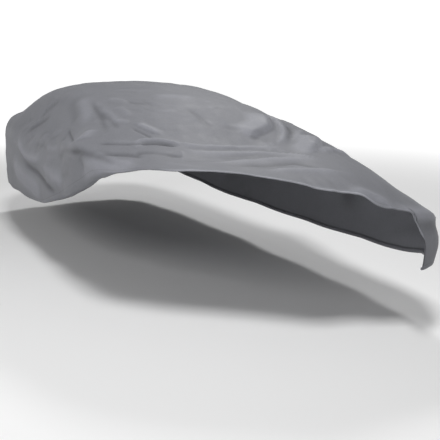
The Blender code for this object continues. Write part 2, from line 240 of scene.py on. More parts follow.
@dataclass(frozen=True)
class Crease:
    """A crease along a line of places on the cloth, each a bearing and a length from the ridge."""

    section: Section
    half_width: float
    height: float  # above zero it stands up, below zero it is a trough
    line: tuple[tuple[float, float], ...]

    def mirrored(self, turn: float, shift: float, share: float, wider: float = 1.15) -> "Crease":
        """The same crease on the other side of the cover, a little moved, lower and wider."""
        line = tuple((360.0 - bearing + turn, reach + shift) for bearing, reach in self.line)
        return Crease(Section.SOFT, self.half_width * wider, self.height * share, line)


def maker(section: Section) -> Callable[..., Crease]:
    """Make the function that lays a crease of the section, sized in millimetres, through its places."""
    return lambda half_width, height, *line: Crease(section, half_width / 1000, height / 1000, line)


soft, pinched, lapped, folded = map(maker, Section)

# Each crease's half width and height in millimetres, and then its places.
FRONT_CREASES = (
    lapped(24, 20, (316, 1.34), (321, 1.305), (325, 1.296), (329, 1.300), (333, 1.318), (337, 1.335)),
    soft(12, -12, (317, 1.352), (323, 1.332), (329, 1.335), (335, 1.357)),
    soft(12, -8, (305, 1.355), (310, 1.335), (316, 1.335), (322, 1.315)),
    lapped(36, 12, (20, 1.48), (13, 1.415), (4, 1.355), (355, 1.33), (346, 1.32), (338, 1.312),
           (331, 1.29)),
    lapped(40, 14, (21, 1.84), (18, 1.70), (14, 1.59), (8, 1.51), (1, 1.455), (350, 1.425), (340, 1.41),
           (334, 1.38)),
    soft(16, -6, (6, 1.455), (11, 1.50), (15, 1.56), (18, 1.65)),
    soft(12, -5, (350, 1.385), (355, 1.375), (6, 1.415), (16, 1.515)),
    pinched(15, 6, (335, 1.40), (334, 1.49), (331, 1.61)),
    folded(28, 15, (321, 1.03), (324.5, 1.09), (327.5, 1.14), (331.5, 1.20)),
    soft(12, -6, (318.5, 1.10), (321.5, 1.15), (324.5, 1.21), (327, 1.27)),
    pinched(11, 7, (317, 1.40), (320, 1.35), (322, 1.31)),
    soft(20, -9, (300, 1.53), (306, 1.51), (311, 1.50), (315, 1.52), (317.5, 1.565)),
    soft(22, -10, (314, 1.49), (318, 1.475), (323, 1.478), (330, 1.50), (336, 1.53)),
    lapped(42, 15, (22, 1.84), (14, 1.705), (9, 1.655), (0, 1.615), (350, 1.615), (335, 1.62)),
    soft(40, -6, (344, 1.50), (354, 1.51), (4, 1.53), (14, 1.63)),
    lapped(40, 13, (20, 2.10), (12, 1.95), (6, 1.88), (359, 1.84), (350, 1.83)),
    soft(26, -9, (342, 1.69), (357, 1.73), (8, 1.77), (13, 1.93)),
    soft(34, 15, (318, 1.76), (328, 1.785), (334, 1.822), (340, 1.870), (349, 1.982), (356, 2.105),
         (0, 2.18), (5, 2.227), (12, 2.287), (17, 2.387), (21, 2.465)),
    lapped(38, 15, (9, 2.205), (13, 2.245), (15.4, 2.288), (17.1, 2.33), (19, 2.38), (21, 2.44)),
    soft(18, 10, (17.5, 2.405), (20, 2.45), (23, 2.495), (26, 2.53)),
    folded(60, 18, (14, 2.47), (22.8, 2.50), (26.3, 2.53), (30.6, 2.555), (34.3, 2.57), (40, 2.57),
           (50, 2.53)),
    soft(45, -8, (22, 2.58), (25, 2.60), (28, 2.61), (32, 2.63), (39, 2.64), (48, 2.61), (58, 2.54)),
    soft(70, 16, (287, 1.64), (294, 1.68), (304, 1.70), (314, 1.68)),
)

EAR_CREASES = (
    soft(12, -9, (284.6, 1.00), (288, 1.12), (293, 1.31)),
    soft(58, 13, (304, 1.12), (301.5, 1.20), (299, 1.29)),
    soft(60, 9, (287, 0.64), (294.8, 0.83), (299.3, 1.03)),
    soft(60, -5, (281, 0.67), (288, 0.82), (291, 0.98)),
    soft(20, -9, (295, 0.66), (302, 0.84), (306, 0.96), (310, 1.20)),
    soft(22, -8, (304, 0.83), (310, 0.98), (314, 1.14)),
    soft(26, 6, (304, 0.77), (310, 0.91), (314, 1.04)),
    soft(26, -5, (266, 1.43), (281, 1.435), (289, 1.475), (296, 1.51)),
    soft(24, -11, (284, 1.45), (291, 1.485), (296.5, 1.52), (300, 1.575), (303, 1.645), (306, 1.73)),
    soft(36, -5, (291, 1.53), (290, 1.60), (289, 1.68)),
)

ROOF_CREASES = (
    pinched(16, 5, (330, 0.84), (338, 0.82), (346, 0.79)),
    pinched(20, 4, (299, 0.38), (312, 0.28), (340, 0.27)),
    soft(18, -5, (314, 0.53), (324, 0.65), (332, 0.64), (334, 0.76)),
    soft(24, 5, (305, 0.62), (312, 0.58), (320, 0.62)),
    soft(70, 9, (335, 0.47), (354, 0.48), (7, 0.58)),
    soft(24, 6, (310, 0.80), (314, 0.78), (318, 0.87), (318, 0.94)),
    soft(20, 6, (313, 0.99), (315, 1.005), (319, 1.02)),
    soft(24, 7, (10.5, 0.59), (12.5, 0.62), (14, 0.66)),
    soft(20, 7, (6.5, 0.735), (8.5, 0.755), (11, 0.78)),
    soft(22, -5, (352, 0.74), (354.5, 0.91), (355, 1.10)),
)

SIDE_CREASES = (
    soft(26, -8, (250.6, 1.24), (259.4, 1.03), (269.3, 0.85)),
    soft(26, -6, (258, 0.99), (264, 0.83), (273, 0.72)),
    lapped(40, 14, (246, 1.32), (250, 1.36), (253.5, 1.405), (259, 1.415), (266, 1.415)),
    soft(24, -13, (251, 1.45), (256, 1.475), (261.5, 1.515), (266, 1.58), (270, 1.65), (273, 1.70)),
    soft(70, 17, (242, 1.56), (250, 1.59), (258, 1.63), (264, 1.69)),
    soft(50, 10, (265, 1.49), (271, 1.55), (277, 1.63)),
)

FAR_CREASES = (
    folded(85, 33, (6, 1.20), (13, 1.185), (21, 1.17), (25, 1.15), (31, 1.06), (37, 0.97)),
    folded(28, 17, (41, 1.02), (37.5, 1.14), (27.4, 1.30), (16.5, 1.40)),
    soft(30, -10, (40, 1.24), (33, 1.33), (24, 1.41)),
    pinched(22, 12, (24, 1.42), (32, 1.385), (38, 1.37), (46, 1.36)),
    folded(76, 38, (18, 1.63), (27, 1.60), (33, 1.575), (38.5, 1.54), (43, 1.53)),
    folded(20, 10, (40, 1.40), (36, 1.45), (32, 1.49), (29, 1.52)),
    folded(45, 16, (26, 1.70), (32, 1.69), (38, 1.72), (42, 1.79), (44, 1.88)),
)

HIDDEN_CREASES = (
    soft(80, 20, (66, 1.30), (72, 1.55), (76, 1.90)),
    soft(90, -18, (56, 1.60), (60, 1.90), (64, 2.30)),
    soft(60, 14, (152, 1.50), (156, 1.80), (158, 2.20)),
    soft(70, -18, (177, 1.40), (179, 1.80), (183, 2.20)),
    soft(60, 16, (206, 1.50), (203, 1.80), (201, 2.20)),
    pinched(50, -10, (148, 1.22), (180, 1.18), (212, 1.22)),
    soft(70, -10, (120, 1.10), (128, 0.95), (136, 0.80)),
)


@dataclass(frozen=True)
class SmallWrinkles:
    """Short faint creases strewn over one stretch of the cloth, all lying about the same way."""

    seed: int
    count: int
    bearings: tuple[float, float]
    reaches: tuple[float, float]
    run: tuple[float, float]  # degrees of bearing and metres of reach from end to end
    height: float
    half_width: float = 0.018
    sizes: tuple[float, float] = (0.5, 1.4)  # least and greatest share of the run
    heights: tuple[float, float] = (0.5, 1.2)  # and of the height
    widths: tuple[float, float] = (0.8, 1.5)  # and of the half width
    trough: float = -0.8  # a trough's depth over a crest's height
    skew: float = 0.25  # spread of the turn off the run, as a share of its length
    bend: float = 0.015
    degrees_per_metre: float = 60.0  # about how far a metre of cloth goes round

    def creases(self) -> list[Crease]:
        """Draw the creases: an even spread of middles, with their runs, heights and widths varied."""
        draw = np.random.default_rng(self.seed)
        bearing = draw.uniform(*self.bearings, self.count)
        reach = draw.uniform(*self.reaches, self.count)
        size = draw.uniform(*self.sizes, self.count)
        turn, rise = size * self.run[0] / 2, size * self.run[1] / 2
        length = np.hypot(self.run[0] / self.degrees_per_metre, self.run[1])
        skew = draw.normal(0.0, self.skew, self.count) * length / 2
        bend = draw.normal(0.0, self.bend, self.count)
        share = draw.uniform(*self.heights, self.count) * draw.choice((1.0, self.trough), self.count)
        width = self.half_width * draw.uniform(*self.widths, self.count)
        lines = np.stack([
            np.stack([bearing - turn, reach - rise - skew], -1),
            np.stack([bearing, reach + bend], -1),
            np.stack([bearing + turn, reach + rise + skew], -1),
        ], 1)
        return [
            Crease(Section.SOFT, float(w), float(h), tuple(map(tuple, line.tolist())))
            for w, h, line in zip(width, self.height * share, lines)
        ]


SMALL_WRINKLES = (
    SmallWrinkles(21, 16, (300.0, 350.0), (0.55, 1.15), (14.0, 0.02), 0.0022),
    SmallWrinkles(22, 18, (300.0, 372.0), (1.30, 1.75), (12.0, 0.05), 0.0035),
    SmallWrinkles(23, 16, (246.0, 290.0), (0.70, 1.35), (9.0, -0.20), 0.0035),
    SmallWrinkles(24, 12, (244.0, 292.0), (1.30, 1.70), (10.0, 0.06), 0.0040),
    SmallWrinkles(25, 10, (366.0, 400.0), (0.95, 1.90), (8.0, 0.10), 0.0045),
    SmallWrinkles(26, 20, (50.0, 235.0), (0.70, 2.00), (8.0, 0.15), 0.0040, 0.030),
)


@dataclass(frozen=True)
class CoverForm:
    """The smooth form that the cloth takes over what it covers, and the hem that ends it."""

    loops: tuple[Loop, ...] = (RIDGE, ROOF, ROOF_EDGE, SLOPE_FOOT, SHOULDER, WIDEST, SKIRT)
    pushes: tuple[Push, ...] = PUSHES
    hem: tuple[HemPoint, ...] = HEM
    hem_pull: float = 2.0  # how late a column of cells bends towards its place in the hem
    past_skirt: float = 1.2  # the most that the cloth runs down the last span, in its lengths
    loop_samples: int = 3001

    def corner_fractions(self, square: float, half_length: float, half_width: float) -> Array:
        """Measure a quarter of a loop from its front, past its corner, to its side.

        The quarter is a superellipse: cosine and sine of an angle to the power two over square.
        The fraction is the arc length, scaled to be 0 at the front, 1 at 45 degrees and 2 at the side.

        Returns:
            Three rows: the fraction, and the shares of the half length and of the half width.
        """
        angle = np.linspace(0.0, math.pi / 2, self.loop_samples)
        ahead = np.cos(angle) ** (2 / square)
        sideways = np.sin(angle) ** (2 / square)
        steps = np.hypot(np.diff(ahead * half_length), np.diff(sideways * half_width))
        arc = np.concatenate([[0.0], np.cumsum(steps)])
        corner = arc[self.loop_samples // 2]
        fraction = np.where(arc <= corner, arc / corner, 1 + (arc - corner) / (arc[-1] - corner))
        return np.stack([fraction, ahead, sideways])

    def loop_height(self, loop: Loop, turn: Array) -> Array:
        """Height of a loop at the given turns from its front, cubic between its five heights."""
        knots = np.array(loop.heights)
        slopes = np.zeros(5)
        slopes[1:-1] = (knots[2:] - knots[:-2]) / 2
        k = np.clip((turn // EIGHTH).astype(int), 0, 3)
        return cubic(turn / EIGHTH - k, knots[k], knots[k + 1], slopes[k], slopes[k + 1])

    def loop_point(self, loop: Loop, bearing: Array) -> Array:
        """Point of a loop at each bearing, read from its quarter's table by the bearing's fraction."""
        turned = either_side(bearing)
        turn = np.abs(turned)
        middle = (loop.front + loop.rear) / 2
        half_length = (loop.front - loop.rear) / 2
        height = self.loop_height(loop, turn)
        if loop.half_width == 0:
            x = middle + half_length * np.clip((90 - turn) / EIGHTH, -1, 1)
            return np.stack([x, np.zeros_like(x), height], -1)
        ahead = turn <= 90
        fraction = np.where(ahead, turn, 180 - turn) / EIGHTH
        front = self.corner_fractions(loop.front_square, half_length, loop.half_width)
        rear = self.corner_fractions(loop.rear_square, half_length, loop.half_width)
        along = np.interp(fraction, front[0], front[1]), -np.interp(fraction, rear[0], rear[1])
        across = np.interp(fraction, front[0], front[2]), np.interp(fraction, rear[0], rear[2])
        side = np.where(turned >= 0, loop.half_width, -loop.half_width)
        x = middle + half_length * np.where(ahead, *along)
        return np.stack([x, side * np.where(ahead, *across), height], -1)

    def smooth_point(self, bearing: Array, length: Array) -> Array:
        """Point of the form at each bearing and length of cloth from the ridge.

        A cubic curve runs down through the loops' points at that bearing. Its slope at a loop is the
        mean of the spans on either side, weighted towards the shorter. Below the last loop the last
        curve runs on a little. The pushes then move it: each adds its move times a bell of its three
        spreads.

        Args:
            bearing: degrees to the left of straight ahead.
            length: metres of cloth from the ridge.

        Returns:
            Points in the tables' own frame, where z is the height above the ground.
        """
        knots = np.stack([self.loop_point(loop, bearing) for loop in self.loops], -2)
        span = np.linalg.norm(np.diff(knots, axis=-2), axis=-1)
        start = np.concatenate([np.zeros(span.shape[:-1] + (1,)), np.cumsum(span, -1)], -1)
        slope = np.diff(knots, axis=-2) / span[..., None]
        before, after = span[..., :-1, None], span[..., 1:, None]
        tangent = np.empty_like(knots)
        tangent[..., 1:-1, :] = (slope[..., :-1, :] * after + slope[..., 1:, :] * before) / (before + after)
        tangent[..., 0, :] = slope[..., 0, :] * (1, 1, 0)  # level across the ridge
        tangent[..., -1, :] = slope[..., -1, :]
        k = (start[..., 1:-1] <= length[..., None]).sum(-1)[..., None]
        size = np.take_along_axis(span, k, -1)
        t = np.minimum((length[..., None] - np.take_along_axis(start, k, -1)) / size, self.past_skirt)

        def pick(rows: Array, index: Array) -> Array:
            """Take one row for each point."""
            return np.take_along_axis(rows, index[..., None], -2)[..., 0, :]

        leave, arrive = pick(tangent, k) * size, pick(tangent, k + 1) * size
        point = cubic(t, pick(knots, k), pick(knots, k + 1), leave, arrive)
        moved = point.copy()
        for push in self.pushes:
            near = np.exp(-(((point - push.centre) / push.spread) ** 2).sum(-1))
            moved += near[..., None] * push.move
        return moved

    def hem_values(self, bearing: Array) -> Array:
        """Read the hem's table at each bearing.

        Between two points it is a cubic that never overshoots them: its slope at a point is the
        weighted harmonic mean of the slopes on either side, or zero where these differ in sign.

        Args:
            bearing: the columns' bearings on the roof.

        Returns:
            End bearing, reach, roll radius and turned width for each column, on the last axis.
        """
        table = np.array([(p.bearing, p.bearing + p.swing, p.reach, *p.finish.value) for p in self.hem])
        lap = np.array([360.0, 360.0, 0.0, 0.0, 0.0])
        rows = np.concatenate([table[-2:] - lap, table, table[:2] + lap])
        gap = np.diff(rows[:, 0])[:, None]
        slope = np.diff(rows[:, 1:], axis=0) / gap
        same_way = slope[:-1] * slope[1:] > 0
        safe = np.where(same_way, slope[:-1] * slope[1:], 1.0)
        near, far = 2 * gap[1:] + gap[:-1], gap[1:] + 2 * gap[:-1]
        mean = (near + far) * safe / (near * slope[1:] + far * slope[:-1] + (~same_way))
        tangent = np.zeros_like(rows[:, 1:])
        tangent[1:-1] = np.where(same_way, mean, 0.0)
        turn = np.mod(bearing, 360.0)
        k = np.searchsorted(rows[:, 0], turn, side="right") - 1
        t = ((turn - rows[k, 0]) / gap[k, 0])[..., None]
        return cubic(t, rows[k, 1:], rows[k + 1, 1:], gap[k] * tangent[k], gap[k] * tangent[k + 1])


def split_cells(points: Array, corners: tuple[Array, ...]) -> Array:
    """Split four-cornered cells along the diagonal that keeps their smaller triangle larger.

    Args:
        points: the mesh's points.
        corners: the cells' four corners, in order round them.

    Returns:
        Two triangles for each cell.
    """
    a, b, c, d = corners

    def area(p: Array, q: Array, r: Array) -> Array:
        """Twice the area of each triangle."""
        return np.linalg.norm(np.cross(points[q] - points[p], points[r] - points[p]), axis=-1)

    one_way = np.minimum(area(a, b, c), area(a, c, d))
    other_way = np.minimum(area(a, b, d), area(b, c, d))
    keep = (one_way >= other_way)[:, None]
    first = np.where(keep, np.stack([a, b, c], -1), np.stack([a, b, d], -1))
    second = np.where(keep, np.stack([a, c, d], -1), np.stack([b, c, d], -1))
    return np.concatenate([first, second])


def point_normals(points: Array, triangles: Array) -> Array:
    """Unit normal of each point, the mean of the triangles round it weighted by their areas."""
    a, b, c = (points[triangles[:, i]] for i in range(3))
    face = np.cross(b - a, c - a)
    normals = np.zeros_like(points)
    for i in range(3):
        np.add.at(normals, triangles[:, i], face)
    return normals / np.linalg.norm(normals, axis=-1, keepdims=True)


def border(rows: Array) -> Array:
    """The outermost corners of a grid, in order round it."""
    return np.concatenate([rows[:-1, 0], rows[-1, :-1], rows[:0:-1, -1], rows[0, :0:-1]])


def evened(loop: Array, rounds: int) -> Array:
    """Even out the vectors round a closed loop, and make them unit vectors."""
    for _ in range(rounds):
        loop = (np.roll(loop, 1, 0) + 2 * loop + np.roll(loop, -1, 0)) / 4
    return loop / np.linalg.norm(loop, axis=-1, keepdims=True)


@dataclass(frozen=True)
class Unevenness:
    """Soft unevenness that no fold has to itself: a sum of waves in seeded directions."""

    seed: int
    height: float
    shortest: float
    longest: float
    waves: int = 28
    stretch: Vector = (1.0, 1.0, 1.0)

    def field(self, points: Array) -> Array:
        """Sum of sines of evenly spread wavelengths and random directions, with the height as spread."""
        draw = np.random.default_rng(self.seed)
        direction = draw.normal(size=(self.waves, 3)) * self.stretch
        direction /= np.linalg.norm(direction, axis=-1, keepdims=True)
        wavelength = np.geomspace(self.shortest, self.longest, self.waves)
        phase = draw.uniform(0.0, 2 * math.pi, self.waves)
        angle = points @ (direction * (2 * math.pi / wavelength)[:, None]).T + phase
        return self.height * (np.sin(angle).sum(-1) / math.sqrt(self.waves / 2))


SLACK = Unevenness(3, 0.0030, 0.45, 1.1)
SMALL_RIPPLES = Unevenness(5, 0.0012, 0.14, 0.40, stretch=(0.35, 1.0, 1.0))
FINE_RIPPLES = Unevenness(11, 0.0007, 0.06, 0.14, waves=40, stretch=(0.3, 1.0, 1.0))
FINE_PATCHES = Unevenness(7, 0.6, 0.5, 1.2)  # where the fine ripples show


@dataclass(frozen=True)
class Band:
    """A stretch of the cloth where its rings of cells lie closer: a bell in bearing and in share."""

    bearing: float
    bearing_spread: float
    share: float
    share_spread: float
    rise: float

    def density(self, bearing: Array, share: Array) -> Array:
        """How much the band adds to the rings' density at each bearing and share of the reach."""
        off = either_side(bearing - self.bearing) / self.bearing_spread
        return self.rise * np.exp(-(off**2)) * np.exp(-(((share - self.share) / self.share_spread) ** 2))


FINE_BANDS = (
    Band(330.0, 48.0, 0.75, 0.12, 2.6),
    Band(24.0, 20.0, 0.49, 0.13, 1.5),
    Band(28.0, 16.0, 0.90, 0.06, 3.5),
    Band(275.0, 30.0, 0.78, 0.18, 0.8),
)


@dataclass(frozen=True)
class CoverCloth:
    """The cover's cloth: one fine sheet with its creases, waves and turned hem."""

    form: CoverForm = CoverForm()
    name: str = "draped_cloth"
    node: str = "cover_cloth"
    slot: str = "grey_nonwoven"
    cells_long: int = 224
    cells_across: int = 196
    bands: tuple[Band, ...] = FINE_BANDS
    finest_bearing: float = 325.0  # where the columns lie closest
    column_crowding: float = 0.40
    thickness: float = 0.0016
    wave_height: float = 0.010  # soft upright waves in the skirt
    wave_length: float = 0.62
    wave_uneven: float = 0.25
    wave_drift: float = 2.3
    wave_start: float = 0.55  # share of the reach where the waves begin
    wave_growth: float = 1.5  # power of the share by which they grow
    wave_front: float = 30.0  # no waves this near the front, full ones at twice this bearing
    girth: float = 12.0  # metres round the hem
    front_middle: float = 349.0  # bearing of the middle of the front hem
    front_half: float = 31.0  # degrees from there to its ends
    front_fade: float = 9.0  # degrees in which it fades at each end
    crease_samples: int = 70
    crease_near: float = 4.0  # half widths from its line up to which a crease is drawn
    crease_end: float = 0.26  # share of a crease in which it dies out at each end
    share_samples: int = 161
    edge_evening: int = 14
    roll_steps: int = 5
    flat_width: float = 3.95
    flat_length: float = 5.90

    def nested(self) -> tuple[Array, Array, Array, Array]:
        """Place the grid's corners in rectangles nested round its middle row, the roof's ridge.

        Returns:
            Cells along and across from the middle, the number of the corner's rectangle, and whether
            the corner is on a long side of it.
        """
        half_long, half_across = self.cells_long / 2, self.cells_across / 2
        along = (np.arange(self.cells_long + 1) - half_long)[:, None] + np.zeros(self.cells_across + 1)
        across = np.arange(self.cells_across + 1) - half_across + np.zeros_like(along)
        past_row = np.abs(along) - (half_long - half_across)
        return along, across, np.maximum(past_row, np.abs(across)), np.abs(across) >= past_row

    def bearings(self) -> tuple[Array, Array]:
        """Bearing and share of the reach at each corner of the grid.

        The bearing runs evenly along each rectangle's sides, with a corner at every odd eighth turn.

        Returns:
            The bearings in degrees, and the shares from 0 at the ridge to 1 at the hem.
        """
        along, across, ring, at_side = self.nested()
        straight = (self.cells_long - self.cells_across) / 2
        side = 90.0 - EIGHTH * along / (straight + ring)
        turn = EIGHTH * np.abs(across) / np.maximum(ring, 1)
        end = np.where(along > 0, turn, 180.0 - turn)
        bearing = np.where(at_side, side, end) * np.where(across >= 0, 1.0, -1.0)
        share = self.ring_shares(bearing, ring / (self.cells_across / 2))
        crowd = self.column_crowding * smooth_steps(share * 2.0)
        away = np.radians(bearing - self.finest_bearing)
        return bearing - np.degrees(crowd * np.sin(away)), share

    def ring_shares(self, bearing: Array, fraction: Array) -> Array:
        """Share of the reach for each corner of the grid, with the rings closest in the fine bands.

        The rings' density is one plus what the bands add, and a corner's share is where the running
        total of the density reaches the corner's fraction.

        Args:
            bearing: the corners' bearings.
            fraction: the corners' rings as fractions, from 0 at the ridge to 1 at the hem.

        Returns:
            The corners' shares, from 0 to 1.
        """
        share = np.linspace(0.0, 1.0, self.share_samples)
        shares = np.empty_like(fraction)
        for row in range(len(fraction)):
            density = 1.0 + sum(band.density(bearing[row, :, None], share) for band in self.bands)
            steps = (density[:, 1:] + density[:, :-1]) / 2
            total = np.concatenate([np.zeros((len(steps), 1)), np.cumsum(steps, -1)], -1)
            wanted = fraction[row] * total[:, -1]
            shares[row] = [np.interp(want, run, share) for want, run in zip(wanted, total)]
        return shares

    def triangles(self, points: Array) -> Array:
        """Triangles of the grid of points."""
        index = np.arange(points.shape[0] * points.shape[1]).reshape(points.shape[:2])
        corners = index[:-1, :-1], index[1:, :-1], index[1:, 1:], index[:-1, 1:]
        return split_cells(points.reshape(-1, 3), tuple(corner.ravel() for corner in corners))

    def normals(self, points: Array) -> Array:
        """Unit normals of the grid of points, facing out."""
        return point_normals(points.reshape(-1, 3), self.triangles(points)).reshape(points.shape)

    def creases(self) -> tuple[Crease, ...]:
        """Every crease: those that show, and plain ones like them on the sides that don't."""
        left = [crease.mirrored(-3.0, 0.02, 0.8) for crease in EAR_CREASES]
        left += [crease.mirrored(4.0, 0.03, 0.7) for crease in SIDE_CREASES]
        shown = FRONT_CREASES + EAR_CREASES + ROOF_CREASES + SIDE_CREASES + FAR_CREASES
        small = [crease for wrinkles in SMALL_WRINKLES for crease in wrinkles.creases()]
        return shown + HIDDEN_CREASES + tuple(left) + tuple(small)

    def crease_line(self, crease: Crease) -> Array:
        """Points of the crease's line on the form, through its few places on the cloth."""
        places = np.array(crease.line, float)
        places[:, 0] = np.degrees(np.unwrap(np.radians(places[:, 0])))
        curve = through(places, self.crease_samples)
        return self.form.smooth_point(curve[:, 0], curve[:, 1])

    def crease_height(self, points: Array, normals: Array) -> Array:
        """Sum of the creases' heights at each point.

        A crease's height is its section's shape at the point's distance from its line, over its half
        width, times an ease at both ends of the line.

        Args:
            points: points of the form.
            normals: the form's unit normals there.

        Returns:
            Metres to move each point along its normal.
        """
        total = np.zeros(len(points))
        for crease in self.creases():
            line = self.crease_line(crease)
            step = np.gradient(line, axis=0)
            size = np.linalg.norm(step, axis=-1, keepdims=True)
            reach = self.crease_near * crease.half_width
            inside = (points > line.min(0) - reach) & (points < line.max(0) + reach)
            near = np.flatnonzero(inside.all(-1))
            offset = points[near, None, :] - line
            nearest = (offset**2).sum(-1).argmin(-1)
            offset = offset[np.arange(len(near)), nearest]
            tangent = (step / size)[nearest]
            along = (offset * tangent).sum(-1)
            place = (nearest + along / size[nearest, 0]) / (self.crease_samples - 1)
            offset = offset - along[:, None] * tangent
            left = (np.cross(normals[near], tangent) * offset).sum(-1)
            across = np.copysign(np.linalg.norm(offset, axis=-1), left) / crease.half_width
            ends = smooth_steps(np.minimum(place, 1 - place) / self.crease_end)
            total[near] += crease.height * ends * crease.section.shape(across)
        return total

    def skirt_waves(self, bearing: Array, share: Array) -> Array:
        """Upright waves round the skirt, sines of uneven spacing that grow towards the hem."""
        round_hem = np.mod(bearing, 360.0) / 360.0 * self.girth
        drift = self.wave_uneven * np.sin(2 * math.pi * round_hem / self.wave_drift)
        phase = 2 * math.pi * (round_hem / self.wave_length + drift)
        grow = np.clip((share - self.wave_start) / (1 - self.wave_start), 0, 1) ** self.wave_growth
        front = smooth_steps((np.abs(either_side(bearing)) - self.wave_front) / self.wave_front)
        return self.wave_height * grow * front * np.sin(phase)

    def draped(self, bearing: Array, share: Array, hem: Array) -> tuple[Array, Array]:
        """Lay the grid on the form and move it by its creases, waves and ripples.

        Args:
            bearing: the bearings of the grid's corners.
            share: their shares of the reach.
            hem: the hem's values for them.

        Returns:
            The grid's points, and the height of the creases at each.
        """
        lap = np.mod(bearing, 360.0)
        lean = (hem[..., 0] - lap) * share**self.form.hem_pull
        smooth = self.form.smooth_point(lap + lean, share * hem[..., 1])
        normals = self.normals(smooth)
        flat = smooth.reshape(-1, 3)
        crease = self.crease_height(flat, normals.reshape(-1, 3)).reshape(share.shape)
        patches = smooth_steps(0.5 + FINE_PATCHES.field(flat))
        ripples = SLACK.field(flat) + SMALL_RIPPLES.field(flat) + patches * FINE_RIPPLES.field(flat)
        height = crease + self.skirt_waves(lap + lean, share) + ripples.reshape(share.shape)
        return smooth + normals * height[..., None], crease

    def turned_hem(self, points: Array, hem: Array) -> list[Array]:
        """Carry the cloth's edge round its roll and back underneath.

        The roll is half a circle that bends from the cloth's run towards its underside. The turned
        strip then runs straight back.

        Args:
            points: the draped grid.
            hem: the hem's values on the grid.

        Returns:
            Loops of points, each further round the edge than the last.
        """
        edge = border(points)
        inner = border(np.pad(points[1:-1, 1:-1], ((1, 1), (1, 1), (0, 0)), mode="edge"))
        along = np.roll(edge, -1, 0) - np.roll(edge, 1, 0)
        along /= np.linalg.norm(along, axis=-1, keepdims=True)
        normal = border(self.normals(points))
        out = np.cross(along, normal)
        out *= np.sign((out * (edge - inner)).sum(-1, keepdims=True))
        out, normal = evened(out, self.edge_evening), evened(normal, self.edge_evening)
        values = border(hem)
        roll, turned = values[:, 2, None], values[:, 3, None]
        loops = []
        for step in range(1, self.roll_steps + 1):
            angle = math.pi * step / self.roll_steps
            loops.append(edge + roll * (math.sin(angle) * out - (1 - math.cos(angle)) * normal))
        return loops + [loops[-1] - turned * out]

    def nearest_edge(self, edge_run: Array) -> Array:
        """Length along the hem for each corner of the grid, that at the hem's end of its column.

        Args:
            edge_run: length along the hem at each of the grid's outermost corners.

        Returns:
            The lengths on the grid.
        """
        along, across, ring, at_side = self.nested()
        half_long, half_across = self.cells_long / 2, self.cells_across / 2
        ring = np.maximum(ring, 1e-6)  # the middle row is a rectangle of no width
        stretch = half_long / (half_long - half_across + ring)
        row = np.where(at_side, along * stretch, np.sign(along) * half_long) + half_long
        column = np.where(at_side, np.sign(across) * half_across, across * half_across / ring) + half_across
        run = np.zeros(along.shape)
        run.ravel()[border(np.arange(run.size).reshape(run.shape))] = edge_run
        row = np.clip(np.rint(row), 0, self.cells_long).astype(int)
        return run[row, np.clip(np.rint(column), 0, self.cells_across).astype(int)]

    def front_hem(self, bearing: Array) -> Array:
        """1 along the front hem, fading to 0 at both of its ends."""
        off = np.abs(either_side(bearing - self.front_middle))
        return smooth_steps((self.front_half - off) / self.front_fade)

    def build(self) -> bpy.types.Object:
        """Make the sheet's mesh, with its attributes, and give it its thickness inwards."""
        bearing, share = self.bearings()
        hem = self.form.hem_values(bearing)
        grid, crease = self.draped(bearing, share, hem)
        edge = border(grid)
        lengths = np.linalg.norm(np.diff(edge, axis=0, append=edge[:1]), axis=-1)
        edge_run = np.concatenate([[0.0], np.cumsum(lengths)[:-1]])
        front = self.front_hem(bearing)
        points, faces = [grid.reshape(-1, 3)], [self.triangles(grid)]
        values = {
            "hem_distance": [(1 - share) * hem[..., 1]],
            "hem_run": [self.nearest_edge(edge_run)],
            "crease_height": [crease],
            "front_hem": [front],
        }
        loop, last = border(np.arange(share.size).reshape(share.shape)), edge
        inwards, flat = np.zeros(len(edge)), np.zeros(len(edge))
        for ring in self.turned_hem(grid, hem):
            following = np.arange(len(ring)) + sum(map(len, points))
            inwards = inwards - np.linalg.norm(ring - last, axis=-1)
            for rings, value in zip(values.values(), (inwards, edge_run, flat, border(front))):
                rings.append(value)
            points.append(ring)
            cells = np.roll(loop, -1), loop, following, np.roll(following, -1)
            faces.append(split_cells(np.concatenate(points), cells))
            loop, last = following, ring
        mesh = bpy.data.meshes.new(self.name)
        place = np.concatenate(points) - (0, 0, REST_HEIGHT)
        mesh.from_pydata(place.tolist(), [], np.concatenate(faces).tolist())
        for name, rings in values.items():
            self.attribute(mesh, name, np.concatenate([ring.ravel() for ring in rings]))
        mesh.shade_smooth()
        mesh.update()
        cloth = bpy.data.objects.new(self.name, mesh)
        bpy.context.scene.collection.objects.link(cloth)
        wall = cloth.modifiers.new("wall", "SOLIDIFY")
        wall.thickness = self.thickness
        wall.offset = -1.0  # all of it inwards
        LOG.info("%s: %d points, %d triangles on its outer face", self.name, len(place), len(mesh.polygons))
        return cloth

    @staticmethod
    def attribute(mesh: bpy.types.Mesh, name: str, values: Array) -> None:
        """Store one number for each point of a mesh."""
        layer = mesh.attributes.new(name, "FLOAT", "POINT")
        layer.data.foreach_set("value", values.astype(np.float32))

    def dress(self, cloth: bpy.types.Object) -> None:
        """Give the cloth its finish, hang it on the root body and hide the part it stands for."""
        cloth.data.materials.append(NonwovenCloth().material())
        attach(cloth, "root")
        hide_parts(self.node)


def fill(tree: Tree, made: bpy.types.Node, **inputs) -> bpy.types.Node:
    """Set or link a shader node's inputs.

    Args:
        tree: the node tree.
        made: the node.
        inputs: values or sockets for its inputs, by the input's name with _ for a space, or by _ and
            the input's number.

    Returns:
        The node.
    """
    for name, value in inputs.items():
        key = int(name[1:]) if name[0] == "_" else name.replace("_", " ")
        if isinstance(value, Socket):
            tree.links.new(value, made.inputs[key])
        else:
            made.inputs[key].default_value = value
    return made


